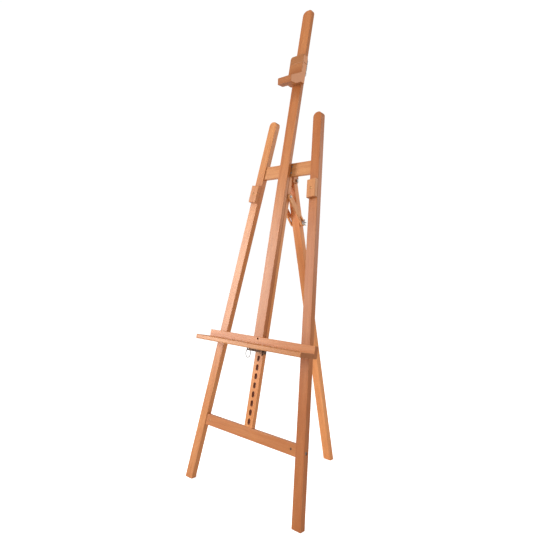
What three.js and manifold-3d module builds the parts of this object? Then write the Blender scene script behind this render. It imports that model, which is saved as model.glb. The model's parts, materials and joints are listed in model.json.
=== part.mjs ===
// A lyre-shaped H-frame studio easel in beech, standing open: millimetres, +Z up, +X to the viewer's right,
// +Y towards the rear leg, origin on the floor under the middle of the easel.
import * as THREE from 'three';
import { mergeVertices } from 'three/addons/utils/BufferGeometryUtils.js';
import Module from 'manifold-3d';

const wasm = await Module();
wasm.setup();

// ---------------------------------------------------------------------------------------------------------
// Driving dimensions. The frame is drawn in leaning coordinates: u across, v up along the frame and d behind
// the front face of the two legs. A range such as [low, high] is a pair of faces.
// ---------------------------------------------------------------------------------------------------------
const { degToRad } = THREE.MathUtils;
const LEAN = degToRad(12.35);
const SPLAY = degToRad(11.53);
const GAP = 0.3;
const ARRIS = 1.2;

const LEG_WIDTH = 46;
const LEG_THICKNESS = 25;
const LEG_FOOT_U = 333.7;
const LEG_TOP_U = 133;
const LEG_TOP_V = 1698;
const LEG_CORNER = 20;
const LEG_ANGLE = Math.atan((LEG_FOOT_U - LEG_TOP_U) / LEG_TOP_V);

const LOWER_BAR = { v: [257, 306], d: [2, 21] };
const UPPER_BAR = { v: [1417, 1477], d: [4, 21] };
const COLUMN = { halfWidth: 25, d: [2.6, 21] };
const SLOT = { first: 330.5, pitch: 38.5, count: 14, height: 26, width: 15 };

const MAST = { halfWidth: 28, d: [-19, -2], top: 2209.7, corner: 22, shoulder: 692.3 };
const TONGUE_FRONT = -9.7;
const TRACK = { v: [1004, 1718], mouth: 5.9, wing: 11.3, d: [-12, -6], windowTop: 1064 };
const KEY = { v: [1345, 1395], stem: 5.5, head: 10.8, headD: [-11.5, -6.6] };

const TRAY_HALF = 320;
const TRAY_BOARD = { v: [642, 692], d: [-20, -0.5] };
const TRAY_LEDGE = { v: [642, 662], d: [-101, -20.3] };
const SADDLE = { u: 38, channel: 25.6, bridge: 21.9, v: [644, 690], d: [-0.2, 28.5] };

const BRACKET = { u: [16, 66], v: [622.5, 641.7], d: [-18, -2], sheet: 2, bend: 46, shelf: 21 };
const PIN = { u: 30, d: -8, radius: 2, v: [617, 641.4], headRadius: 4.2, headHeight: 1.8 };
const PAWL = { end: -68.5, v: [627.5, 639.2], d: [-10, -6], hub: 5 };
const PAWL_NOSE = { v: [628.6, 639.2], d: 6.2, half: 2.6 };
const SPRING = { radius: 3.4, wire: 0.5, turns: 2.75, bottom: 618.2, height: 3.4 };
const RING = { u: -62, v: 632.4, width: 28, height: 37, wire: 1.6 };

const HEAD_HALF = 41;
const HEAD_V = [1842, 1976];
const HEAD_SEAM = 1935;
const HEAD_D = [-42, -13.5];
const HEAD_CORNER = 12;
const LIP = [[-42, 1886], [-103, 1845], [-98, 1816], [-66, 1821], [-36, 1842]];
const PAD = { halfWidth: 22, thickness: 1, v: [1856, 1926] };
const HOOK = { u: [15, 29.3, 30.8, 40.3], d: [-13.2, -11.7, -0.7, 0.8], v: [1888, 1960] };
const HOOK_SCREW = { u: 35.5, v: [1900, 1950], length: 18, shaft: 1.5, head: 3.2, height: 1.6 };

const REST_BLOCK = { v: [1304.5, 1384.5], d: [-18.5, -0.3] };

const HINGE = { v: 1408, d: 44 };
const REAR_LEG = { halfWidth: 22, thickness: 25 };
const CHEEK_U = [22.3, 30.3];
const HINGE_BOLT = { radius: 4, end: 39.5, hex: 7.4, hexHeight: 5 };
const STAY_PIVOT = { v: 1325, d: 15 };
const STAY_BOLT_REACH = 191;
const STAY = { u: [25.6, 35.4], halfWidth: 12.5, slotHalf: 5.5, slotFrom: 109.5 };
const STAY_BOLT_R = 3;

const ROUND = 14;
const SCREW_ROUND = 10;
const HOLE_ROUND = 10;

// ---------------------------------------------------------------------------------------------------------
// Materials
// ---------------------------------------------------------------------------------------------------------
const finish = (color, roughness, metalness) => ({ color, roughness, metalness });
const BEECH = finish(0xcf9465, 0.55, 0);
const BEECH_DARK = finish(0xb5764a, 0.6, 0);
const STEEL = finish(0xb9b9b6, 0.35, 1);
const BLACK_STEEL = finish(0x3b3029, 0.5, 0.8);
const FELT = finish(0x4a4038, 0.95, 0);

// ---------------------------------------------------------------------------------------------------------
// Solids
// ---------------------------------------------------------------------------------------------------------
function toSolid(geometry) {
  const bare = geometry.clone();
  bare.deleteAttribute('normal');
  bare.deleteAttribute('uv');
  const merged = mergeVertices(bare, 1e-4);
  return new wasm.Manifold(new wasm.Mesh({
    numProp: 3,
    vertProperties: new Float32Array(merged.attributes.position.array),
    triVerts: new Uint32Array(merged.index.array),
  }));
}

function toGeometry(solid) {
  const mesh = solid.getMesh();
  const geometry = new THREE.BufferGeometry();
  geometry.setAttribute('position', new THREE.BufferAttribute(new Float32Array(mesh.vertProperties), 3));
  geometry.setIndex(new THREE.BufferAttribute(new Uint32Array(mesh.triVerts), 1));
  geometry.computeVertexNormals();
  return geometry;
}

function cut(base, tools) {
  const solid = tools.reduce((left, tool) => left.subtract(toSolid(tool)), toSolid(base));
  return toGeometry(solid);
}

function join(pieces) {
  const solids = pieces.map(toSolid);
  return toGeometry(solids.reduce((all, solid) => all.add(solid)));
}

function box(u, d, v) {
  const size = [u, d, v].map(([low, high]) => high - low);
  const middle = [u, d, v].map(([low, high]) => (low + high) / 2);
  return new THREE.BoxGeometry(...size).translate(...middle);
}

function polygon(points) {
  return new THREE.Shape(points.map(([x, y]) => new THREE.Vector2(x, y)));
}

// The upright outline of a slat: straight sides, square foot and a top with rounded corners.
function slat(half, foot, top, corner) {
  const shape = new THREE.Shape();
  shape.moveTo(-half, foot);
  shape.lineTo(half, foot);
  shape.lineTo(half, top - corner);
  shape.absarc(half - corner, top - corner, corner, 0, Math.PI / 2, false);
  shape.absarc(corner - half, top - corner, corner, Math.PI / 2, Math.PI, false);
  return shape;
}

function extrude(shape, length, arris) {
  return new THREE.ExtrudeGeometry(shape, {
    depth: length - 2 * arris,
    bevelEnabled: arris > 0,
    bevelThickness: arris,
    bevelSize: arris,
    bevelOffset: -arris,
    bevelSegments: 2,
    curveSegments: 6,
  }).translate(0, 0, arris);
}

// A board whose outline is drawn in u and v, filling the depths d.
function frontBoard(shape, d, arris = ARRIS) {
  return extrude(shape, d[1] - d[0], arris).rotateX(Math.PI / 2).translate(0, d[1], 0);
}

// A piece whose outline is drawn in d and v, filling the widths u.
function sideBoard(shape, u, arris = ARRIS) {
  const turn = new THREE.Matrix4().makeBasis(
    new THREE.Vector3(0, 1, 0), new THREE.Vector3(0, 0, 1), new THREE.Vector3(1, 0, 0));
  return extrude(shape, u[1] - u[0], arris).applyMatrix4(turn).translate(u[0], 0, 0);
}

// Round bars along each axis, between two faces.
function rodU(v, d, radius, u, sides = ROUND) {
  return new THREE.CylinderGeometry(radius, radius, u[1] - u[0], sides)
    .rotateZ(Math.PI / 2).translate((u[0] + u[1]) / 2, d, v);
}

function rodD(u, v, radius, d, sides = ROUND) {
  return new THREE.CylinderGeometry(radius, radius, d[1] - d[0], sides).translate(u, (d[0] + d[1]) / 2, v);
}

function rodV(u, d, radius, v, sides = ROUND) {
  return new THREE.CylinderGeometry(radius, radius, v[1] - v[0], sides)
    .rotateX(Math.PI / 2).translate(u, d, (v[0] + v[1]) / 2);
}

// A wood screw along +Y with the underside of its domed head at y = 0, the point ahead at y = length.
function screw(length, shaftR, headR, headH) {
  const profile = [
    [0, length], [shaftR, length - 4], [shaftR, 0], [headR, 0], [headR * 0.72, -headH * 0.85], [0, -headH],
  ].map(([r, y]) => new THREE.Vector2(r, -y));
  const body = new THREE.LatheGeometry(profile, SCREW_ROUND).rotateX(Math.PI);
  const arm = headR * 0.55;
  const recess = [-headH - 1, -headH + 1.3];
  return cut(body, [box([-arm, arm], recess, [-0.6, 0.6]), box([-0.6, 0.6], recess, [-arm, arm])]);
}

const screwFromFront = (u, v, d, ...sizes) => screw(...sizes).translate(u, d, v);
const screwFromBack = (u, v, d, ...sizes) => screw(...sizes).rotateZ(Math.PI).translate(u, d, v);
const screwFromSide = (side, u, v, d, ...sizes) =>
  screw(...sizes).rotateZ(side * Math.PI / 2).translate(side * u, d, v);
const screwFromBelow = (u, d, v, ...sizes) => screw(...sizes).rotateX(Math.PI / 2).translate(u, d, v);

// ---------------------------------------------------------------------------------------------------------
// Scene helpers
// ---------------------------------------------------------------------------------------------------------
function place(group, name, geometry, look) {
  const mesh = new THREE.Mesh(geometry, new THREE.MeshStandardMaterial(look));
  mesh.name = name;
  group.add(mesh);
}

function placeEach(group, name, geometries) {
  geometries.forEach((geometry, i) => place(group, `${name}_${i + 1}`, geometry, STEEL));
}

const SIDES = [['left', -1], ['right', 1]];
const legCentre = (v) => LEG_FOOT_U - v * Math.tan(LEG_ANGLE);
const legInner = (v) => legCentre(v) - LEG_WIDTH / 2 / Math.cos(LEG_ANGLE);
const legOuter = (v) => legCentre(v) + LEG_WIDTH / 2 / Math.cos(LEG_ANGLE);
const middle = ([low, high]) => (low + high) / 2;
const mirrored = (u, side) => (side > 0 ? u : [-u[1], -u[0]]);

const object = new THREE.Group();
const frame = new THREE.Group();
frame.rotation.x = -LEAN;
object.add(frame);

const hingeY = HINGE.v * Math.sin(LEAN) + HINGE.d * Math.cos(LEAN);
const hingeZ = HINGE.v * Math.cos(LEAN) - HINGE.d * Math.sin(LEAN);
const rear = new THREE.Group();
rear.position.set(0, hingeY, hingeZ);
rear.rotation.x = SPLAY;
object.add(rear);

// ---------------------------------------------------------------------------------------------------------
// Fixed frame: two converging legs, two crossbars and the slotted column between them. The lower crossbar is
// bolted through the legs into barrel nuts, the upper one and the column are tenoned.
// ---------------------------------------------------------------------------------------------------------
const floorInFrame = box([-500, 500], [-300, 300], [-200, 0]).rotateX(LEAN);
const TENON_D = [8, 16];
const BOLT_V = middle(LOWER_BAR.v);
const BOLT_D = middle(LOWER_BAR.d);
const BOLT = { seat: legOuter(BOLT_V) - 8, barrel: legInner(BOLT_V) - 26.5, headR: 5.5, headHeight: 5 };
const boltTip = BOLT.barrel - 8;

// A tenon is drawn tight for the piece that carries it and with a gap all round for its mortise.
function legTenon(side, gap) {
  const [low, high] = [UPPER_BAR.v[0] + 10, UPPER_BAR.v[1] - 10];
  const u = [100, legInner(high) + 20 + gap];
  return box(mirrored(u, side), [TENON_D[0] - gap, TENON_D[1] + gap], [low - gap, high + gap]);
}

function columnTenon(shoulder, gap) {
  const d = [TENON_D[0] - gap, TENON_D[1] + gap];
  return box([-15 - gap, 15 + gap], d, [shoulder - 25 - gap, shoulder + 25 + gap]);
}

function legBoard(side) {
  const length = LEG_TOP_V / Math.cos(LEG_ANGLE);
  const board = frontBoard(slat(LEG_WIDTH / 2, -30, length, LEG_CORNER), [0, LEG_THICKNESS])
    .rotateY(-side * LEG_ANGLE).translate(side * LEG_FOOT_U, 0, 0);
  const blockV = middle(REST_BLOCK.v);
  return cut(board, [
    floorInFrame,
    legTenon(side, GAP),
    rodU(BOLT_V, BOLT_D, 3.4, mirrored([boltTip, BOLT.seat + 1], side)),
    rodU(BOLT_V, BOLT_D, 7, mirrored([BOLT.seat, BOLT.seat + 30], side)),
    rodD(side * legCentre(blockV), blockV, 2.4, [-2, 17]),
  ]);
}

const crossbarShape = ([low, high]) => polygon([
  [-legInner(low) + GAP, low], [legInner(low) - GAP, low],
  [legInner(high) - GAP, high], [-legInner(high) + GAP, high],
]);

function lowerCrossbar() {
  const holes = SIDES.flatMap(([, side]) => [
    rodD(side * BOLT.barrel, BOLT_V, 5.3, [-5, 30]),
    rodU(BOLT_V, BOLT_D, 3.4, mirrored([boltTip - 1, legInner(BOLT_V) + 5], side)),
  ]);
  const bar = frontBoard(crossbarShape(LOWER_BAR.v), LOWER_BAR.d);
  return cut(bar, [...holes, columnTenon(LOWER_BAR.v[1], GAP)]);
}

const CHEEK_SCREWS = [1432, 1462];
const CHEEK_SCREW_U = middle(CHEEK_U);
const cheekScrewPlaces = CHEEK_SCREWS.flatMap((v) => [-CHEEK_SCREW_U, CHEEK_SCREW_U].map((u) => ({ u, v })));
const cheekHoles = cheekScrewPlaces.map(({ u, v }) => rodD(u, v, 2.4, [0, 47], HOLE_ROUND));

function upperCrossbar() {
  const bar = frontBoard(crossbarShape(UPPER_BAR.v), UPPER_BAR.d);
  const solid = join([bar, ...SIDES.map(([, side]) => legTenon(side, 0))]);
  return cut(solid, [...cheekHoles, columnTenon(UPPER_BAR.v[0], GAP)]);
}

function hexBolt(side) {
  const headEnd = BOLT.seat + BOLT.headHeight;
  const head = rodU(BOLT_V, BOLT_D, BOLT.headR, mirrored([BOLT.seat + GAP, headEnd], side));
  const shaft = rodU(BOLT_V, BOLT_D, 3, mirrored([boltTip, BOLT.seat + 1], side));
  const socket = rodU(BOLT_V, BOLT_D, 2.6, mirrored([headEnd - 2.5, headEnd + 4], side), 6);
  return cut(join([head, shaft]), [socket]);
}

function barrelNut(side) {
  const nut = rodD(side * BOLT.barrel, BOLT_V, 5, [3, 20]);
  return cut(nut, [rodU(BOLT_V, BOLT_D, 3.3, mirrored([BOLT.barrel - 9, BOLT.barrel + 9], side))]);
}

for (const [name, side] of SIDES) {
  place(frame, `${name}_leg`, legBoard(side), BEECH);
  place(frame, `${name}_crossbar_bolt`, hexBolt(side), STEEL);
  place(frame, `${name}_barrel_nut`, barrelNut(side), STEEL);
}
place(frame, 'lower_crossbar', lowerCrossbar(), BEECH);
place(frame, 'upper_crossbar', upperCrossbar(), BEECH);

function slot(v) {
  const half = SLOT.width / 2;
  const straight = SLOT.height / 2 - half;
  const shape = new THREE.Shape();
  shape.absarc(0, v + straight, half, 0, Math.PI, false);
  shape.absarc(0, v - straight, half, Math.PI, 2 * Math.PI, false);
  return frontBoard(shape, [COLUMN.d[0] - 5, COLUMN.d[1] + 5], 0);
}

const slots = Array.from({ length: SLOT.count }, (_, i) => slot(SLOT.first + i * SLOT.pitch));
const KEY_SCREWS = [1356, 1384];
const keyHoles = KEY_SCREWS.map((v) => rodD(0, v, 2.4, [-5, 30], HOLE_ROUND));
const STAY_SCREW = { length: 30, shaft: 3, head: 6.5, height: 3 };
const stayScrewHoles = SIDES.map(([, side]) =>
  rodU(STAY_PIVOT.v, STAY_PIVOT.d, STAY_SCREW.shaft + GAP, mirrored([4, 30], side), HOLE_ROUND));
function column() {
  const { halfWidth, d } = COLUMN;
  const [low, high] = [LOWER_BAR.v[1], UPPER_BAR.v[0]];
  const outline = polygon([
    [-halfWidth, low + GAP], [halfWidth, low + GAP], [halfWidth, high - GAP], [-halfWidth, high - GAP]]);
  const solid = join([frontBoard(outline, d), columnTenon(low, 0), columnTenon(high, 0)]);
  return cut(solid, [...slots, ...keyHoles, ...stayScrewHoles]);
}
place(frame, 'ratchet_column', column(), BEECH);

// The key that keeps the mast against the column, screwed on from behind.
const keyBody = join([
  box([-KEY.head, KEY.head], KEY.headD, KEY.v),
  box([-KEY.stem, KEY.stem], [KEY.headD[1] - 1, COLUMN.d[0] - GAP], KEY.v),
]);
const keyPilots = KEY_SCREWS.map((v) => rodD(0, v, 2.2, [-9, 5], HOLE_ROUND));
place(frame, 'mast_guide_key', cut(keyBody, keyPilots), BEECH_DARK);
placeEach(frame, 'guide_key_screw', KEY_SCREWS.map((v) =>
  screwFromBack(0, v, COLUMN.d[1] + GAP, 28, 1.9, 4.2, 2.6)));

// ---------------------------------------------------------------------------------------------------------
// Canvas rest blocks, each turning on one screw in a leg
// ---------------------------------------------------------------------------------------------------------
function restBlock(side) {
  const half = LEG_WIDTH / 2;
  const height = REST_BLOCK.v[1] - REST_BLOCK.v[0];
  const v = middle(REST_BLOCK.v);
  const shape = polygon([[-half, -height / 2], [half, -height / 2], [half, height / 2], [-half, height / 2]]);
  const block = cut(frontBoard(shape, REST_BLOCK.d, 2), [
    rodD(0, 0, 2.4, [-30, 5]),
    rodD(0, 0, 5, [-30, REST_BLOCK.d[0] + 4]),
  ]);
  return block.rotateY(-side * LEG_ANGLE).translate(side * legCentre(v), 0, v);
}

for (const [name, side] of SIDES) {
  const v = middle(REST_BLOCK.v);
  const pivot = screwFromFront(side * legCentre(v), v, REST_BLOCK.d[0] + 4 - GAP, 29, 2, 4.4, 2.8);
  place(frame, `${name}_rest_block`, restBlock(side), BEECH);
  place(frame, `${name}_rest_block_screw`, pivot, STEEL);
}

// ---------------------------------------------------------------------------------------------------------
// Sliding carriage: mast, tray and the guides that clasp the column
// ---------------------------------------------------------------------------------------------------------
const mastScrew = { v: 684, seat: -15.5, length: 12 };

function mast() {
  const shape = slat(MAST.halfWidth, TRAY_BOARD.v[0] + 1, MAST.top, MAST.corner);
  const { v, mouth, wing, d, windowTop } = TRACK;
  return cut(frontBoard(shape, MAST.d), [
    box([-40, 40], [-30, TONGUE_FRONT], [TRAY_BOARD.v[0] - 5, MAST.shoulder]),
    box([-wing, wing], d, v),
    box([-mouth, mouth], [d[1] - 1, 5], v),
    box([-wing, wing], [d[1] - 1, 5], [v[0], windowTop]),
    rodD(0, mastScrew.v, 2.3, [-12, 5], HOLE_ROUND),
  ]);
}
place(frame, 'mast', mast(), BEECH);

const LEDGE_SCREW_U = [-210, 210];
const LEDGE_SCREW_V = middle(TRAY_LEDGE.v);
const SADDLE_SCREW_U = [-32, 32];
const SADDLE_SCREW_V = 667;
const saddleHoles = SADDLE_SCREW_U.map((u) => rodD(u, SADDLE_SCREW_V, 2.4, [-15, 40], HOLE_ROUND));
const BRACKET_SCREWS = [-14, -6];
const BRACKET_SCREW_U = 56;
const trayRectangle = ([low, high]) =>
  polygon([[-TRAY_HALF, low], [TRAY_HALF, low], [TRAY_HALF, high], [-TRAY_HALF, high]]);

const trayBoard = cut(frontBoard(trayRectangle(TRAY_BOARD.v), TRAY_BOARD.d), [
  box([-MAST.halfWidth - GAP, MAST.halfWidth + GAP], [TONGUE_FRONT - GAP, 5], [630, 700]),
  rodD(0, mastScrew.v, 5, [-30, mastScrew.seat]),
  rodD(0, mastScrew.v, 2.3, [-30, 0], HOLE_ROUND),
  ...LEDGE_SCREW_U.map((u) => rodD(u, LEDGE_SCREW_V, 2.3, [-30, 5], HOLE_ROUND)),
  ...LEDGE_SCREW_U.map((u) => rodD(u, LEDGE_SCREW_V, 4.8, [-4.2, 5], HOLE_ROUND)),
  ...saddleHoles,
  ...BRACKET_SCREWS.map((d) => rodV(BRACKET_SCREW_U, d, 1.9, [630, 656], HOLE_ROUND)),
]);
place(frame, 'tray_board', trayBoard, BEECH);

function roundedLedge() {
  const [front, back] = TRAY_LEDGE.d;
  const [low, high] = TRAY_LEDGE.v;
  const nose = 5;
  const shape = new THREE.Shape();
  shape.moveTo(back, low);
  shape.lineTo(back, high);
  shape.lineTo(front + nose, high);
  shape.absarc(front + nose, high - nose, nose, Math.PI / 2, Math.PI, false);
  shape.absarc(front + nose, low + nose, nose, Math.PI, 1.5 * Math.PI, false);
  const ledge = sideBoard(shape, [-TRAY_HALF, TRAY_HALF]);
  return cut(ledge, LEDGE_SCREW_U.map((u) => rodD(u, LEDGE_SCREW_V, 2.1, [-46, -15], HOLE_ROUND)));
}
place(frame, 'tray_ledge', roundedLedge(), BEECH);
placeEach(frame, 'tray_ledge_screw', LEDGE_SCREW_U.map((u) =>
  screwFromBack(u, LEDGE_SCREW_V, -4.2 + GAP, 41, 1.8, 4.2, 2.6)));
place(frame, 'mast_foot_screw',
  screwFromFront(0, mastScrew.v, mastScrew.seat - GAP, mastScrew.length, 2, 4.4, 2.8), STEEL);

// The saddle clasps the column from behind: two cheeks beside it and a bridge across its back.
const saddleBlock = box([-SADDLE.u, SADDLE.u], SADDLE.d, SADDLE.v);
const saddleChannel = box([-SADDLE.channel, SADDLE.channel], [-5, SADDLE.bridge], [600, 720]);
place(frame, 'column_saddle', cut(saddleBlock, [saddleChannel, ...saddleHoles]), BEECH);
placeEach(frame, 'saddle_screw', SADDLE_SCREW_U.map((u) =>
  screwFromBack(u, SADDLE_SCREW_V, SADDLE.d[1] + GAP, 42, 2, 4.2, 2.4)));

// ---------------------------------------------------------------------------------------------------------
// Ratchet latch under the tray: sprung pawl on an upright pin, with a pull ring
// ---------------------------------------------------------------------------------------------------------
function bracket() {
  const { v, d, sheet, bend, shelf } = BRACKET;
  const [low, high] = v;
  const top = high - sheet + 0.2;
  const outline = polygon([
    [BRACKET.u[0], top], [bend - sheet, top], [bend - sheet, low + sheet], [shelf, low + sheet], [shelf, low],
    [bend, low], [bend, top], [BRACKET.u[1], top], [BRACKET.u[1], high], [BRACKET.u[0], high]]);
  return cut(frontBoard(outline, d, 0), [
    ...BRACKET_SCREWS.map((screwD) => rodV(BRACKET_SCREW_U, screwD, 1.9, [630, 650], HOLE_ROUND)),
    rodV(PIN.u, PIN.d, PIN.radius + GAP, [615, 650]),
  ]);
}
place(frame, 'latch_bracket', bracket(), BLACK_STEEL);
placeEach(frame, 'latch_bracket_screw', BRACKET_SCREWS.map((d) =>
  screwFromBelow(BRACKET_SCREW_U, d, BRACKET.v[1] - 1.8 - GAP, 15, 1.5, 3.2, 2)));
place(frame, 'latch_pin', join([
  rodV(PIN.u, PIN.d, PIN.radius, PIN.v),
  rodV(PIN.u, PIN.d, PIN.headRadius, [PIN.v[0] - 1.6, PIN.v[0] - 1.6 + PIN.headHeight]),
]), STEEL);

class Helix extends THREE.Curve {
  getPoint(t, target = new THREE.Vector3()) {
    const { radius, turns, bottom, height } = SPRING;
    const angle = 2 * Math.PI * turns * t;
    return target.set(
      PIN.u + radius * Math.cos(angle), PIN.d + radius * Math.sin(angle), bottom + height * t);
  }
}
const springSection = new THREE.Shape().absarc(0, 0, SPRING.wire, 0, 2 * Math.PI, false);
const latchSpring = new THREE.ExtrudeGeometry(springSection, {
  extrudePath: new Helix(), steps: 33, curveSegments: 3, bevelEnabled: false,
});
place(frame, 'latch_spring', latchSpring, STEEL);

function pawl() {
  const { end, v, d, hub } = PAWL;
  const { half } = PAWL_NOSE;
  const bar = box([end, PIN.u], d, v);
  const boss = rodV(PIN.u, PIN.d, hub, v, 20);
  const nose = box([-half, half], [d[1] - 1, PAWL_NOSE.d], PAWL_NOSE.v);
  const tip = rodV(0, PAWL_NOSE.d, half, PAWL_NOSE.v, 16);
  return cut(join([bar, boss, nose, tip]), [
    rodV(PIN.u, PIN.d, PIN.radius + GAP, [600, 650]),
    rodD(RING.u, RING.v + 1, 4.2, [-20, 0], 20),
  ]);
}
place(frame, 'latch_pawl', pawl(), BLACK_STEEL);

class Oval extends THREE.Curve {
  getPoint(t, target = new THREE.Vector3()) {
    const angle = 2 * Math.PI * t;
    return target.set(0, RING.width / 2 * Math.sin(angle), RING.height / 2 * (Math.cos(angle) - 1));
  }
}

// The ring is a closed loop of wire, swept section by section so that its end meets its start.
function pullRing() {
  const steps = 28;
  const sides = 8;
  const centre = new THREE.Vector3(0, 0, -RING.height / 2);
  const curve = new Oval();
  const position = [];
  const index = [];
  for (let i = 0; i < steps; i += 1) {
    const point = curve.getPoint(i / steps);
    const out = curve.getTangent(i / steps).cross(new THREE.Vector3(1, 0, 0)).normalize();
    out.multiplyScalar(Math.sign(out.dot(point.clone().sub(centre))));
    for (let j = 0; j < sides; j += 1) {
      const angle = 2 * Math.PI * j / sides;
      const rim = point.clone().addScaledVector(out, RING.wire * Math.cos(angle));
      position.push(rim.x + RING.wire * Math.sin(angle), rim.y, rim.z);
      const a = i * sides + j;
      const b = i * sides + (j + 1) % sides;
      const c = (a + sides) % (steps * sides);
      const e = (b + sides) % (steps * sides);
      index.push(a, b, c, b, e, c);
    }
  }
  const geometry = new THREE.BufferGeometry();
  geometry.setAttribute('position', new THREE.Float32BufferAttribute(position, 3));
  geometry.setIndex(index);
  geometry.computeVertexNormals();
  return geometry;
}
const ringGroup = new THREE.Group();
ringGroup.position.set(RING.u, middle(PAWL.d), RING.v);
ringGroup.rotation.x = LEAN;
frame.add(ringGroup);
place(ringGroup, 'pull_ring', pullRing(), STEEL);

// ---------------------------------------------------------------------------------------------------------
// Top canvas clamp on the mast: cap block, jaw with a sloping lip, and two bent hooks round the mast's back.
// The gap between the hooks lets the clamp slide down past the mast's guide key.
// ---------------------------------------------------------------------------------------------------------
const mastChannel = box(
  [-MAST.halfWidth - 0.5, MAST.halfWidth + 0.5], [MAST.d[0] - 1.6, 10], [HEAD_V[0] - 50, HEAD_V[1] + 50]);
const hookScrewPlaces = HOOK_SCREW.v.flatMap((v) => [-HOOK_SCREW.u, HOOK_SCREW.u].map((u) => ({ u, v })));
const hookScrewHoles = hookScrewPlaces.map(({ u, v }) =>
  rodD(u, v, HOOK_SCREW.shaft + GAP, [-31, 5], HOLE_ROUND));

const capShape = slat(HEAD_HALF, HEAD_SEAM + GAP, HEAD_V[1], HEAD_CORNER);
place(frame, 'clamp_cap', cut(frontBoard(capShape, HEAD_D, 2), [mastChannel, ...hookScrewHoles]), BEECH);

const jawProfile = polygon([
  [HEAD_D[1], HEAD_V[0]], [HEAD_D[1], HEAD_SEAM], [HEAD_D[0], HEAD_SEAM], ...LIP,
]);
const jawBody = sideBoard(jawProfile, [-HEAD_HALF, HEAD_HALF], 2);
place(frame, 'clamp_jaw', cut(jawBody, [mastChannel, ...hookScrewHoles]), BEECH);

const padBack = MAST.d[0] - GAP;
place(frame, 'clamp_felt_pad',
  box([-PAD.halfWidth, PAD.halfWidth], [padBack - PAD.thickness, padBack], PAD.v), FELT);

// A hook's section: a flange on the back of the head, an arm beside the mast and a finger behind it.
function clampHook(side) {
  const [finger, inner, outer, flange] = HOOK.u;
  const [flangeFront, flangeBack, fingerFront, fingerBack] = HOOK.d;
  const section = polygon([
    [flange, flangeFront], [flange, flangeBack], [outer, flangeBack], [outer, fingerBack],
    [finger, fingerBack], [finger, fingerFront], [inner, fingerFront], [inner, flangeFront],
  ].map(([u, d]) => [side * u, d]));
  const length = HOOK.v[1] - HOOK.v[0];
  return cut(extrude(section, length, 0).translate(0, 0, HOOK.v[0]), hookScrewHoles);
}
for (const [name, side] of SIDES) {
  place(frame, `${name}_clamp_hook`, clampHook(side), STEEL);
}
placeEach(frame, 'clamp_hook_screw', hookScrewPlaces.map(({ u, v }) => {
  const { length, shaft, head, height } = HOOK_SCREW;
  return screwFromBack(u, v, HOOK.d[1] + GAP, length, shaft, head, height);
}));

// ---------------------------------------------------------------------------------------------------------
// Rear leg and its hinge under the upper crossbar
// ---------------------------------------------------------------------------------------------------------
function hingeCheek(side) {
  const [front, back] = [UPPER_BAR.d[1] + GAP, HINGE.d];
  const radius = 13;
  const top = UPPER_BAR.v[1] - 3;
  const shape = new THREE.Shape();
  shape.moveTo(front, HINGE.v - radius);
  shape.lineTo(back, HINGE.v - radius);
  shape.absarc(back, HINGE.v, radius, -Math.PI / 2, 0.25, false);
  shape.lineTo(front + 14, top);
  shape.lineTo(front, top);
  const cheek = sideBoard(shape, mirrored(CHEEK_U, side), 1);
  return cut(cheek, [rodU(HINGE.v, HINGE.d, HINGE_BOLT.radius + GAP, [-60, 60]), ...cheekHoles]);
}
for (const [name, side] of SIDES) {
  place(frame, `${name}_hinge_cheek`, hingeCheek(side), BEECH);
}
placeEach(frame, 'hinge_cheek_screw', cheekScrewPlaces.map(({ u, v }) =>
  screwFromFront(u, v, UPPER_BAR.d[0] - GAP, 40, 2, 4, 2.2)));
const hexFrom = CHEEK_U[1] + GAP;
place(frame, 'hinge_bolt', join([
  rodU(HINGE.v, HINGE.d, HINGE_BOLT.radius, [-hexFrom - 1, HINGE_BOLT.end], 18),
  rodU(HINGE.v, HINGE.d, HINGE_BOLT.hex, [-hexFrom - HINGE_BOLT.hexHeight, -hexFrom], 6),
]), STEEL);
place(frame, 'hinge_nut', cut(
  rodU(HINGE.v, HINGE.d, HINGE_BOLT.hex, [hexFrom, hexFrom + HINGE_BOLT.hexHeight + 1], 6),
  [rodU(HINGE.v, HINGE.d, HINGE_BOLT.radius + GAP, [20, 50], 18)]), STEEL);

const floorInRear = box([-500, 500], [-600, 600], [-300, 0]).translate(0, 0, -hingeZ).rotateX(-SPLAY);

function rearLeg() {
  const half = REAR_LEG.halfWidth;
  const depth = REAR_LEG.thickness / 2;
  const length = hingeZ / Math.cos(SPLAY) + 20;
  const shape = new THREE.Shape();
  shape.moveTo(-depth, -length);
  shape.lineTo(depth, -length);
  shape.lineTo(depth, 0);
  shape.absarc(0, 0, depth, 0, Math.PI, false);
  return cut(sideBoard(shape, [-half, half]), [
    floorInRear,
    rodU(0, 0, HINGE_BOLT.radius + GAP, [-60, 60], 18),
    rodU(-STAY_BOLT_REACH, 0, STAY_BOLT_R + GAP, [-60, 60]),
  ]);
}
place(rear, 'rear_leg', rearLeg(), BEECH);

// ---------------------------------------------------------------------------------------------------------
// Two slotted stays from the column to a bolt with a wing nut through the rear leg
// ---------------------------------------------------------------------------------------------------------
const opening = LEAN + SPLAY;
const boltV = HINGE.v - STAY_BOLT_REACH * Math.cos(opening);
const boltD = HINGE.d + STAY_BOLT_REACH * Math.sin(opening);
const stayReach = Math.hypot(boltV - STAY_PIVOT.v, boltD - STAY_PIVOT.d);
const stayAngle = Math.atan2(boltD - STAY_PIVOT.d, STAY_PIVOT.v - boltV);

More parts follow.
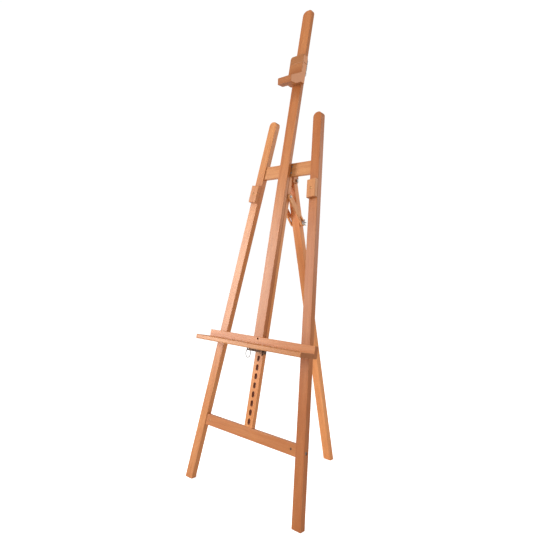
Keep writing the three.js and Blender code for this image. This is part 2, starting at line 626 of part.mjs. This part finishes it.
// The slat hangs down its own -Z from the pivot; the bolt stands 0.3 mm short of the slot's lower end.
function stay(side) {
  const { halfWidth, slotHalf, slotFrom, u } = STAY;
  const slotTo = stayReach + STAY_BOLT_R + GAP - slotHalf;
  const outline = new THREE.Shape();
  outline.absarc(0, 0, halfWidth, 0, Math.PI, false);
  outline.absarc(0, -slotTo - slotHalf, halfWidth, Math.PI, 2 * Math.PI, false);
  const slotShape = new THREE.Shape();
  slotShape.absarc(0, -slotFrom, slotHalf, 0, Math.PI, false);
  slotShape.absarc(0, -slotTo, slotHalf, Math.PI, 2 * Math.PI, false);
  return cut(sideBoard(outline, mirrored(u, side)), [
    sideBoard(slotShape, [-60, 60], 0),
    rodU(0, 0, STAY_SCREW.shaft + GAP, [-60, 60]),
  ]);
}
const stays = new THREE.Group();
stays.position.set(0, STAY_PIVOT.d, STAY_PIVOT.v);
stays.rotation.x = stayAngle;
frame.add(stays);
for (const [name, side] of SIDES) {
  place(stays, `${name}_stay`, stay(side), BEECH);
}

const spacerU = [REAR_LEG.halfWidth + GAP, STAY.u[0] - GAP];
for (const [name, side] of SIDES) {
  const pivot = screwFromSide(side, STAY.u[1] + GAP, STAY_PIVOT.v, STAY_PIVOT.d,
    STAY_SCREW.length, STAY_SCREW.shaft, STAY_SCREW.head, STAY_SCREW.height);
  const spacer = cut(rodU(-STAY_BOLT_REACH, 0, 7, mirrored(spacerU, side), 20),
    [rodU(-STAY_BOLT_REACH, 0, STAY_BOLT_R + GAP, [-60, 60])]);
  place(frame, `${name}_stay_pivot_screw`, pivot, STEEL);
  place(rear, `${name}_stay_spacer`, spacer, STEEL);
}

const headU = STAY.u[1] + GAP;
place(rear, 'stay_bolt', join([
  rodU(-STAY_BOLT_REACH, 0, STAY_BOLT_R, [-headU - 1, 53], 14),
  rodU(-STAY_BOLT_REACH, 0, 9, [-headU - 1.8, -headU], 20),
  rodU(-STAY_BOLT_REACH, 0, 6.5, [-headU - 4, -headU - 1], 20),
]), STEEL);

function wingNut() {
  const [inner, outer] = [headU, headU + 9];
  const profile = [
    [3.3, inner], [9, inner], [9, inner + 1.6], [7, inner + 3], [5.2, outer], [3.3, outer], [3.3, inner]];
  const hub = new THREE.LatheGeometry(profile.map(([r, y]) => new THREE.Vector2(r, y)), 18)
    .rotateZ(-Math.PI / 2).translate(0, 0, -STAY_BOLT_REACH);
  const wing = new THREE.Shape();
  wing.moveTo(4.5, inner + 2);
  wing.lineTo(11, inner + 4.5);
  wing.quadraticCurveTo(17, inner + 8, 15.5, inner + 13);
  wing.quadraticCurveTo(13, inner + 15.5, 10.5, inner + 12.5);
  wing.lineTo(4.5, outer - 1);
  const flat = () => new THREE.ExtrudeGeometry(wing, { depth: 2.6, bevelEnabled: false, curveSegments: 5 })
    .translate(0, 0, -1.3);
  const turn = new THREE.Matrix4().makeBasis(
    new THREE.Vector3(0, 0, 1), new THREE.Vector3(1, 0, 0), new THREE.Vector3(0, 1, 0));
  const wings = [0, Math.PI].map((angle) =>
    flat().applyMatrix4(turn).rotateX(angle).translate(0, 0, -STAY_BOLT_REACH));
  return join([hub, ...wings]);
}
place(rear, 'wing_nut', wingNut(), STEEL);

// The finished object is centred over the middle of its own footprint.
object.updateMatrixWorld(true);
const bounds = new THREE.Box3().setFromObject(object, true);
object.children.forEach((child) => child.position.setY(child.position.y - (bounds.min.y + bounds.max.y) / 2));

export default object;
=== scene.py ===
import json
import math
import random

import bmesh
import bpy
from mathutils import Matrix, Vector

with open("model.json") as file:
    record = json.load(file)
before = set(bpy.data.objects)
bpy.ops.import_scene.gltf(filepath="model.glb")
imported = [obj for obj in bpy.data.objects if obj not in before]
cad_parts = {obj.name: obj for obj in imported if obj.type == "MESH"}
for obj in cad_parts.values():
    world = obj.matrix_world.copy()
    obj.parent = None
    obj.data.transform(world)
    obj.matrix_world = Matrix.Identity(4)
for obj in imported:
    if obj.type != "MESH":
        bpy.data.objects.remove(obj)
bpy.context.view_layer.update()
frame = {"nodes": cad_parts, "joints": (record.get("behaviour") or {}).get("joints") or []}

# ---------------------------------------------------------------------------------------------------------
# Directions: up read from the record's joints, the leg angles given
# ---------------------------------------------------------------------------------------------------------
JOINTS = {j["name"]: j for j in frame["joints"]}
UP = Vector(JOINTS["carriage_slide"]["axis"]).normalized()
ACROSS = Vector((1, 0, 0))
BACK = UP.cross(ACROSS).normalized()
LEG_ANGLE = math.radians(6.773)
SPLAY = math.radians(11.53)
REAR_DOWN = Vector((0, math.sin(SPLAY), -math.cos(SPLAY)))


def leg_along(side):
    """The direction of a front leg, converging upwards."""
    return (UP * math.cos(LEG_ANGLE) - ACROSS * side * math.sin(LEG_ANGLE)).normalized()


# ---------------------------------------------------------------------------------------------------------
# Node helpers
# ---------------------------------------------------------------------------------------------------------
class Graph:
    """Short names for building a material's nodes."""

    def __init__(self, name):
        self.material = bpy.data.materials.new(name)
        self.material.use_nodes = True
        self.nodes = self.material.node_tree.nodes
        self.links = self.material.node_tree.links
        self.shader = self.nodes["Principled BSDF"]

    def add(self, kind, **settings):
        node = self.nodes.new(kind)
        for key, value in settings.items():
            setattr(node, key, value)
        return node

    def join(self, source, target):
        self.links.new(source, target)

    def math(self, operation, a, b=0.5, clamp=False):
        node = self.add("ShaderNodeMath", operation=operation, use_clamp=clamp)
        for socket, value in zip(node.inputs, (a, b)):
            if isinstance(value, (int, float)):
                socket.default_value = value
            else:
                self.join(value, socket)
        return node.outputs[0]

    def ramp(self, factor, stops, interpolation="LINEAR"):
        node = self.add("ShaderNodeValToRGB")
        node.color_ramp.interpolation = interpolation
        elements = node.color_ramp.elements
        while len(elements) < len(stops):
            elements.new(0.5)
        for element, (place, value) in zip(elements, stops):
            element.position = place
            element.color = (*value, 1) if len(value) == 3 else (value[0],) * 3 + (1,)
        self.join(factor, node.inputs["Fac"])
        return node.outputs["Color"]

    def mix(self, factor, a, b, blend="MIX"):
        node = self.add("ShaderNodeMix", data_type="RGBA", blend_type=blend)
        for socket, value in ((node.inputs[0], factor), (node.inputs[6], a), (node.inputs[7], b)):
            if isinstance(value, (int, float)):
                socket.default_value = value
            elif isinstance(value, tuple):
                socket.default_value = (*value, 1)
            else:
                self.join(value, socket)
        return node.outputs[2]

    def noise(self, vector, scale, detail=3.0, roughness=0.55, distortion=0.0):
        node = self.add("ShaderNodeTexNoise")
        node.inputs["Scale"].default_value = scale
        node.inputs["Detail"].default_value = detail
        node.inputs["Roughness"].default_value = roughness
        node.inputs["Distortion"].default_value = distortion
        self.join(vector, node.inputs["Vector"])
        return node.outputs["Fac"]

    def mapped(self, vector, rotation=(0, 0, 0), scale=(1, 1, 1), location=(0, 0, 0)):
        node = self.add("ShaderNodeMapping")
        node.inputs["Rotation"].default_value = rotation
        node.inputs["Scale"].default_value = scale
        node.inputs["Location"].default_value = location
        self.join(vector, node.inputs["Vector"])
        return node.outputs["Vector"]

    def bump(self, height, strength, distance, normal=None):
        node = self.add("ShaderNodeBump")
        node.inputs["Strength"].default_value = strength
        node.inputs["Distance"].default_value = distance
        self.join(height, node.inputs["Height"])
        if normal is not None:
            self.join(normal, node.inputs["Normal"])
        return node.outputs["Normal"]


def board_axes(along, face):
    """The axes of a board: x along the grain, z out of the broad face."""
    x = along.normalized()
    z = (face - x * face.dot(x)).normalized()
    return x, z.cross(x), z


def board_section(node, axes):
    """Middle and half size of a board across its grain: ((y, half), (z, half))."""
    points = [v.co for v in frame["nodes"][node].data.vertices]
    spans = []
    for axis in axes[1:]:
        along = [p.dot(axis) for p in points]
        spans.append(((min(along) + max(along)) / 2, (max(along) - min(along)) / 2))
    return spans


# ---------------------------------------------------------------------------------------------------------
# Materials
# ---------------------------------------------------------------------------------------------------------
def shade(colour, tone, warmth=0.0):
    """A wood colour made lighter or darker, and redder where warmth is above 0."""
    r, g, b = colour
    return (r * tone, g * tone * (1 - 0.5 * warmth), b * tone * (1 - warmth))


EARLY_WOOD = (0.570, 0.208, 0.060)
LATE_WOOD = (0.385, 0.108, 0.026)
STREAK_WOOD = (0.670, 0.290, 0.104)
FLECK_WOOD = (0.200, 0.052, 0.015)
WORN_WOOD = (0.700, 0.360, 0.175)
END_WOOD = (0.285, 0.082, 0.024)
PALE_END = (0.900, 0.430, 0.230)


def beech(name, node, along, face, seed, tone=1.0, warmth=0.0, painted_slot_shade=None, end_wood=END_WOOD):
    """Oiled beech: growth rings cut by the board, ray flecks, slow streaks and worn arrises."""
    rng = random.Random(seed)
    axes = board_axes(along, face)
    turn = Matrix(axes).to_euler()
    g = Graph(name)
    source = g.add("ShaderNodeTexCoord")
    plain = g.mapped(source.outputs["Object"], rotation=turn)
    board = g.mapped(plain, location=(rng.uniform(-4, 4), rng.uniform(-4, 4), rng.uniform(-4, 4)))
    # Growth rings round a pith well outside the board, wandering slowly along it.
    (mid_y, half_y), (mid_z, half_z) = board_section(node, axes)
    reach = rng.uniform(0.045, 0.11)
    pith = g.mapped(plain, scale=(0, 1, 1),
                    location=(0, -mid_y + rng.uniform(-0.04, 0.04), -mid_z + rng.choice((-1, 1)) * reach))
    wander = g.noise(g.mapped(board, scale=(1.1, 9, 9)), 1.0, 2.0)
    ripple = g.noise(g.mapped(board, scale=(5.0, 70, 70)), 1.0, 2.0)
    radius = g.add("ShaderNodeVectorMath", operation="LENGTH")
    g.join(pith, radius.inputs[0])
    shifted = g.math("ADD", g.math("ADD", radius.outputs["Value"], g.math("MULTIPLY", wander, 0.034)),
                     g.math("MULTIPLY", ripple, 0.0022))
    ring = g.math("FRACT", g.math("MULTIPLY", shifted, rng.uniform(240, 330)))
    ring_colour = g.ramp(ring, [(0.0, (0.0,)), (0.55, (0.18,)), (0.90, (1.0,)), (1.0, (0.05,))])
    # Long fibres, short ray flecks and broad streaks of lighter wood.
    fibre = g.noise(g.mapped(board, scale=(16, 1000, 1000)), 1.0, 4.0, 0.65)
    fleck = g.noise(g.mapped(board, scale=(300, 1900, 1900)), 1.0, 1.0, 0.5)
    fleck_mask = g.ramp(fleck, [(0.60, (0.0,)), (0.68, (1.0,))])
    streak = g.noise(g.mapped(board, scale=(1.7, 42, 42)), 1.0, 4.0, 0.62)
    streak_mask = g.ramp(streak, [(0.40, (0.0,)), (0.66, (1.0,))])
    blotch = g.noise(g.mapped(board, scale=(2.4, 7, 7)), 1.0, 3.0)
    early, late = shade(EARLY_WOOD, tone, warmth), shade(LATE_WOOD, tone, warmth)
    colour = g.mix(g.math("MULTIPLY", ring_colour, 0.62), early, late)
    colour = g.mix(g.math("MULTIPLY", streak_mask, 0.6), colour, shade(STREAK_WOOD, tone, warmth))
    colour = g.mix(g.math("MULTIPLY", g.math("SUBTRACT", fibre, 0.36, True), 1.5), colour, late)
    colour = g.mix(g.ramp(blotch, [(0.40, (0.0,)), (0.72, (0.5,))]), colour, late)
    colour = g.mix(g.math("MULTIPLY", fleck_mask, 0.42), colour, FLECK_WOOD)
    # End faces are made darker, as oiled end grain is; on the clamp cap and jaw they are made pale instead.
    facing = g.add("ShaderNodeSeparateXYZ")
    g.join(g.mapped(source.outputs["Normal"], rotation=turn), facing.inputs[0])
    end = g.math("MULTIPLY", g.math("SUBTRACT", g.math("ABSOLUTE", facing.outputs["X"]), 0.55), 3.0, True)
    colour = g.mix(g.math("MULTIPLY", end, 0.62), colour, end_wood)
    # Handling wears the oil off the arrises.
    place = g.add("ShaderNodeSeparateXYZ")
    g.join(plain, place.inputs[0])
    worn = None
    for socket, middle, half in (("Y", mid_y, half_y), ("Z", mid_z, half_z)):
        off_middle = g.math("ABSOLUTE", g.math("SUBTRACT", place.outputs[socket], middle))
        near = g.math("MULTIPLY", g.math("SUBTRACT", off_middle, half - 0.0026), 1 / 0.0022, True)
        worn = near if worn is None else g.math("MULTIPLY", worn, near)
    rubbed = g.noise(g.mapped(board, scale=(7, 60, 60)), 1.0, 4.0, 0.7)
    rubbed = g.ramp(rubbed, [(0.42, (0.0,)), (0.62, (1.0,))])
    worn = g.math("MULTIPLY", g.math("MULTIPLY", worn, rubbed), 0.5)
    colour = g.mix(worn, colour, shade(WORN_WOOD, tone))
    if painted_slot_shade:
        # Painted shade: the walls of the slots are darkened where they lie in shadow.
        width, wall_shade_colour = painted_slot_shade
        off_middle = g.math("ABSOLUTE", g.math("SUBTRACT", place.outputs["Y"], mid_y))
        across = g.math("LESS_THAN", off_middle, width)
        wall = g.math("LESS_THAN", g.math("ABSOLUTE", facing.outputs["Z"]), 0.6)
        wall_shade_grain = g.ramp(fibre, [(0.3, (0.86,)), (0.7, (1.0,))])
        colour = g.mix(g.math("MULTIPLY", g.math("MULTIPLY", across, wall), wall_shade_grain), colour, wall_shade_colour)
    g.join(colour, g.shader.inputs["Base Color"])
    rough = g.math("ADD", g.math("MULTIPLY", fibre, 0.20), g.math("MULTIPLY", blotch, 0.14))
    rough = g.math("ADD", rough, g.math("MULTIPLY", g.math("ADD", end, worn), 0.22))
    g.join(g.math("ADD", rough, 0.24), g.shader.inputs["Roughness"])
    grain = g.math("ADD", g.math("MULTIPLY", fibre, 0.7), g.math("MULTIPLY", ring_colour, -0.25))
    g.join(g.bump(grain, 0.30, 0.0004, g.bump(fleck_mask, 0.2, 0.0002)), g.shader.inputs["Normal"])
    g.shader.inputs["Specular IOR Level"].default_value = 0.26
    g.shader.inputs["Coat Weight"].default_value = 0.15
    g.shader.inputs["Coat Roughness"].default_value = 0.30
    return g.material


def metal(name, colour, dull, roughness, scratch_scale=900.0, tarnish=90.0):
    """Plated or burnished steel with fine scratches, dull patches and a grey bloom in its low spots."""
    g = Graph(name)
    coords = g.add("ShaderNodeTexCoord").outputs["Object"]
    scratch = g.noise(g.mapped(coords, scale=(0.15, 1, 1)), scratch_scale, 2.0)
    patch = g.noise(coords, tarnish, 4.0, 0.6)
    speck = g.ramp(g.noise(coords, 2600.0, 1.0), [(0.60, (0.0,)), (0.70, (1.0,))])
    toned = g.mix(g.ramp(patch, [(0.38, (0.0,)), (0.68, (0.85,))]), colour, dull)
    g.join(g.mix(g.math("MULTIPLY", speck, 0.25), toned, dull), g.shader.inputs["Base Color"])
    spread = g.math("MULTIPLY", g.math("ADD", scratch, patch), 0.18)
    g.join(g.math("ADD", spread, roughness - 0.14), g.shader.inputs["Roughness"])
    relief = g.math("ADD", scratch, g.math("MULTIPLY", speck, 0.4))
    g.join(g.bump(relief, 0.14, 0.0002), g.shader.inputs["Normal"])
    g.shader.inputs["Metallic"].default_value = 1.0
    return g.material


def felt(name):
    """Dense pressed felt: matted fibres in two greys."""
    g = Graph(name)
    coords = g.add("ShaderNodeTexCoord").outputs["Object"]
    fuzz = g.noise(coords, 1400.0, 4.0, 0.7)
    clump = g.noise(coords, 260.0, 3.0)
    tone = g.math("MULTIPLY", g.math("ADD", fuzz, clump), 0.5)
    g.join(g.mix(tone, (0.02, 0.017, 0.014), (0.11, 0.095, 0.08)), g.shader.inputs["Base Color"])
    g.join(g.bump(fuzz, 0.6, 0.0008), g.shader.inputs["Normal"])
    g.shader.inputs["Roughness"].default_value = 0.95
    g.shader.inputs["Sheen Weight"].default_value = 0.4
    return g.material


brass = metal("brass_plate", (0.56, 0.33, 0.145), (0.33, 0.175, 0.075), 0.42)
bright_zinc = metal("bright_zinc", (0.66, 0.64, 0.61), (0.42, 0.40, 0.375), 0.38)
zinc = metal("zinc_steel", (0.44, 0.44, 0.425), (0.235, 0.232, 0.222), 0.36)
dark_steel = metal("burnished_steel", (0.150, 0.085, 0.055), (0.052, 0.030, 0.022), 0.46)
felt_cloth = felt("felt_pad")

# Each wooden board: the direction of its grain, the way its broad face looks, how light it is made, how red.
# Lightness and redness are partly the wood's own tone and partly painted light and shade, where a board is
# more or less lit.
BOARDS = {
    "left_leg": (leg_along(-1), BACK, 1.13, -0.24),
    "right_leg": (leg_along(1), BACK, 0.90, 0.16),
    "lower_crossbar": (ACROSS, BACK, 0.95, 0.04),
    "upper_crossbar": (ACROSS, BACK, 1.06, -0.24),
    "ratchet_column": (UP, BACK, 1.30, -0.22),
    "mast": (UP, BACK, 0.96, 0.02),
    "mast_guide_key": (UP, BACK, 0.90, 0.00),
    "tray_board": (ACROSS, BACK, 1.14, -0.10),
    "tray_ledge": (ACROSS, UP, 1.06, -0.26),
    "column_saddle": (ACROSS, BACK, 0.95, 0.00),
    "clamp_cap": (ACROSS, BACK, 0.74, -0.10),
    "clamp_jaw": (ACROSS, UP, 0.76, 0.08),
    "left_hinge_cheek": (UP, ACROSS, 1.00, 0.00),
    "right_hinge_cheek": (UP, ACROSS, 1.00, 0.00),
    "rear_leg": (REAR_DOWN, ACROSS.cross(REAR_DOWN), 1.42, -0.20),
    "left_stay": (REAR_DOWN, ACROSS, 1.45, -0.50),
    "right_stay": (REAR_DOWN, ACROSS, 1.45, -0.50),
    "left_rest_block": (leg_along(-1), BACK, 1.08, -0.24),
    "right_rest_block": (leg_along(1), BACK, 1.20, -0.30),
}
# Painted shade inside the ratchet column's slots: the slots' half-width and the shade colour of their walls.
SLOT_SHADOWS = {"ratchet_column": (0.0079, (0.200, 0.033, 0.002))}
# Pieces whose end faces are made pale instead of dark.
PALE_END_PIECES = {"clamp_cap", "clamp_jaw"}
FITTINGS = {
    "latch_bracket": dark_steel,
    "latch_pawl": dark_steel,
    "latch_pin": dark_steel,
    "latch_spring": dark_steel,
    "mast_foot_screw": dark_steel,
    "right_barrel_nut": dark_steel,
    "left_barrel_nut": brass,
    "left_rest_block_screw": brass,
    "right_rest_block_screw": brass,
    "wing_nut": bright_zinc,
}


def dress(node, material):
    """Gives a CAD node its finish."""
    mesh = frame["nodes"][node].data
    mesh.materials.clear()
    mesh.materials.append(material)


def soften(node, width, segments=3, angle=30.0, rounded=False):
    """Rounds a CAD solid's hard edges by modifiers; a rounded piece is also shaded smooth."""
    obj = frame["nodes"][node]
    weld = obj.modifiers.new("weld", "WELD")
    weld.merge_threshold = 1e-6
    bevel = obj.modifiers.new("edge", "BEVEL")
    bevel.width = width
    bevel.segments = segments
    bevel.limit_method = "ANGLE"
    bevel.angle_limit = math.radians(angle)
    bevel.miter_outer = "MITER_ARC"
    even = obj.modifiers.new("even", "WEIGHTED_NORMAL")
    even.weight = 50
    even.keep_sharp = not rounded


for seed, (node, (along, face, tone, warmth)) in enumerate(BOARDS.items()):
    dress(node, beech(f"beech_{node}", node, along, face, seed + 11, tone, warmth, SLOT_SHADOWS.get(node),
                      PALE_END if node in PALE_END_PIECES else END_WOOD))
    soften(node, 0.0005)
for node in frame["nodes"]:
    if node in BOARDS:
        continue
    if node == "clamp_felt_pad":
        dress(node, felt_cloth)
        continue
    dress(node, FITTINGS.get(node, zinc))
    soften(node, 0.0002, 2, rounded=True)

# ---------------------------------------------------------------------------------------------------------
# Floor, light and camera
# ---------------------------------------------------------------------------------------------------------
floor_mesh = bpy.data.meshes.new("floor")
floor_builder = bmesh.new()
bmesh.ops.create_grid(floor_builder, x_segments=1, y_segments=1, size=30)
floor_builder.to_mesh(floor_mesh)
floor_builder.free()
floor = bpy.data.objects.new("floor", floor_mesh)
bpy.context.collection.objects.link(floor)
floor.location.z = -0.0005
paper = Graph("paper_floor")
paper.shader.inputs["Base Color"].default_value = (0.9, 0.9, 0.9, 1)
paper.shader.inputs["Roughness"].default_value = 0.9
paper.shader.inputs["Specular IOR Level"].default_value = 0.0
paper.shader.inputs["Emission Color"].default_value = (1, 1, 1, 1)
# The paper is seen a little brighter than it lights the easel, as an overexposed sweep is.
paper_rays = paper.add("ShaderNodeLightPath")
paper_glow = paper.math("MULTIPLY", paper_rays.outputs["Is Camera Ray"], 0.6)
paper.join(paper_glow, paper.shader.inputs["Emission Strength"])
floor_mesh.materials.append(paper.material)


def softbox(name, place, target, size, radiance, colour=(1, 1, 1)):
    """A rectangular studio light; its power follows from its size and how bright its face is."""
    light = bpy.data.lights.new(name, "AREA")
    light.shape = "RECTANGLE"
    light.size, light.size_y = size
    light.energy = radiance * math.pi * size[0] * size[1]
    light.color = colour
    lamp = bpy.data.objects.new(name, light)
    lamp.location = place
    lamp.rotation_euler = (Vector(target) - Vector(place)).to_track_quat("-Z", "Y").to_euler()
    bpy.context.collection.objects.link(lamp)


# The room is seen white, and lights the easel a little less than that.
world = bpy.data.worlds.new("studio")
bpy.context.scene.world = world
world.use_nodes = True
room = world.node_tree
seen = room.nodes.new("ShaderNodeBackground")
seen.inputs["Strength"].default_value = 1.02
room.nodes["Background"].inputs["Strength"].default_value = 0.56
for background in (seen, room.nodes["Background"]):
    background.inputs["Color"].default_value = (1, 1, 1, 1)
either = room.nodes.new("ShaderNodeMixShader")
rays = room.nodes.new("ShaderNodeLightPath")
room.links.new(rays.outputs["Is Camera Ray"], either.inputs[0])
room.links.new(room.nodes["Background"].outputs[0], either.inputs[1])
room.links.new(seen.outputs[0], either.inputs[2])
room.links.new(either.outputs[0], room.nodes["World Output"].inputs["Surface"])

softbox("key", (-2.3, -1.85, 1.55), (0, 0, 1.0), (0.9, 1.4), 18.0, (1.0, 0.985, 0.955))
softbox("top", (0.0, -2.6, 4.0), (0, 0, 0.8), (1.8, 1.8), 2.6)
softbox("rim", (2.0, 2.4, 1.95), (0, 0, 1.35), (1.8, 1.5), 3.2)

camera_data = bpy.data.cameras.new("camera")
camera_data.sensor_width = 36.0
camera_data.lens = 33.94
camera = bpy.data.objects.new("camera", camera_data)
camera.location = (1.5955, -1.7375, 1.0524)
camera.rotation_euler = (math.radians(87.292), 0, math.radians(43.98))
bpy.context.collection.objects.link(camera)
bpy.context.scene.camera = camera
bpy.context.scene.view_settings.view_transform = "Standard"
